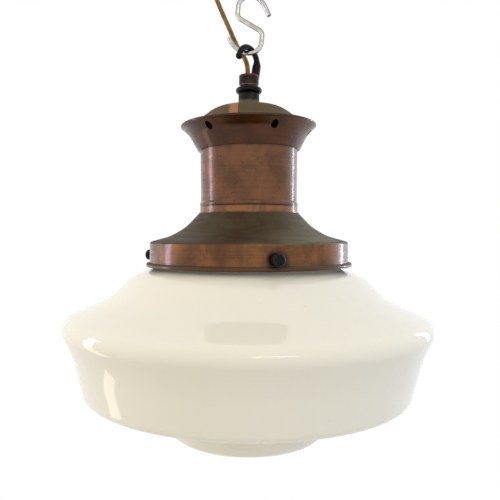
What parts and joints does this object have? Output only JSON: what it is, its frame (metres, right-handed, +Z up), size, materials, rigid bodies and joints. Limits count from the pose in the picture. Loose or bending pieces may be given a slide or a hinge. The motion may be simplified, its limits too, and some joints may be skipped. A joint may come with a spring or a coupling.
{
  "type": "opaline pendant light",
  "caption": "Opal glass pendant light with a vented spun copper gallery, thumbscrews, a bayonet lampholder with its lamp, an iron hook and an S-hook.",
  "frame": {"origin": "inside of the S-hook's upper bend, the point the whole lamp hangs from", "axes": "+Z up, along the lamp's hanging axis; -Y towards the viewer; +X to the viewer's right"},
  "size_m": [0.3052, 0.3052, 0.4152],
  "materials": {
    "galvanised_wire": "satin",
    "black_iron": "satin",
    "dark_steel": "satin",
    "blackened_steel": "satin",
    "aged_copper": "satin",
    "brass": "satin",
    "bush_plastic": "matte",
    "opal_glass": "gloss",
    "clear_glass": "gloss",
    "porcelain": "gloss",
    "black_insulator": "gloss",
    "solder": "satin",
    "tungsten": "satin",
    "spring_steel": "satin",
    "flex_sheath": "satin",
    "core_sheath": "matte",
    "bare_copper": "satin"
  },
  "bodies": {
    "s_hook": {"s_hook": "galvanised_wire"},
    "bulb": {"lamp_cap": "brass", "lamp_insulator": "black_insulator", "lamp_contacts": "solder", "lamp_glass": "clear_glass", "lamp_stem": "clear_glass", "lamp_filament": "tungsten"},
    "thumbscrew_1": {"thumbscrew_1": "blackened_steel"},
    "thumbscrew_2": {"thumbscrew_2": "blackened_steel"},
    "thumbscrew_3": {"thumbscrew_3": "blackened_steel"},
    "plunger_front": {"contact_plunger_front": "brass"},
    "plunger_back": {"contact_plunger_back": "brass"},
    "shade_ring": {"shade_ring": "brass"},
    "lamp": {"suspension_hook": "black_iron", "grub_screw": "dark_steel", "entry_bush": "bush_plastic", "collar_locknut": "black_iron", "entry_boss": "black_iron", "down_tube": "brass", "dome_washer": "dark_steel", "dome_nut": "dark_steel", "dome_cap": "aged_copper", "vent_collar": "aged_copper", "neck_tube": "aged_copper", "trumpet_gallery": "aged_copper", "screw_bushes": "dark_steel", "glass_shade": "opal_glass", "holder_barrel": "brass", "union_ring": "brass", "holder_cap": "brass", "holder_nut": "brass", "terminal_block": "porcelain", "terminal_posts": "brass", "terminal_screws": "dark_steel", "flex_cord": "flex_sheath", "flex_inner": "flex_sheath", "flex_cores": "core_sheath", "flex_end_cores": "bare_copper", "plunger_spring_front": "spring_steel", "plunger_spring_back": "spring_steel"}
  },
  "joints": [
    {"name": "lamp_swing", "type": "hinge", "parent": "s_hook", "child": "lamp", "pos_m": [-0.0007, 0, -0.04209], "axis": [0.2756, 0.9613, 0], "range_deg": [-20, 20]},
    {"name": "thumbscrew_1_out", "type": "slide", "parent": "lamp", "child": "thumbscrew_1", "axis": [0.225, -0.9744, 0], "range_m": [0, 0.006]},
    {"name": "thumbscrew_2_out", "type": "slide", "parent": "lamp", "child": "thumbscrew_2", "axis": [0.7314, 0.682, 0], "range_m": [0, 0.006]},
    {"name": "thumbscrew_3_out", "type": "slide", "parent": "lamp", "child": "thumbscrew_3", "axis": [-0.9563, 0.2924, 0], "range_m": [0, 0.006]},
    {"name": "bulb_push", "type": "slide", "parent": "lamp", "child": "bulb", "axis": [0, 0, 1], "range_m": [0, 0.0025], "stiffness_N_per_m": 2000, "springref_m": -0.003},
    {"name": "plunger_front_push", "type": "slide", "parent": "lamp", "child": "plunger_front", "axis": [0, 0, 1], "range_m": [0, 0.0025], "deforming": ["plunger_spring_front"]},
    {"name": "plunger_back_push", "type": "slide", "parent": "lamp", "child": "plunger_back", "axis": [0, 0, 1], "range_m": [0, 0.0025], "deforming": ["plunger_spring_back"]},
    {"name": "shade_ring_unscrew", "type": "slide", "parent": "lamp", "child": "shade_ring", "axis": [0, 0, -1], "range_m": [0, 0.008]}
  ],
  "couplings": [
    {"joint": "plunger_front_push", "follows": "bulb_push", "ratio": 1},
    {"joint": "plunger_back_push", "follows": "bulb_push", "ratio": 1}
  ]
}
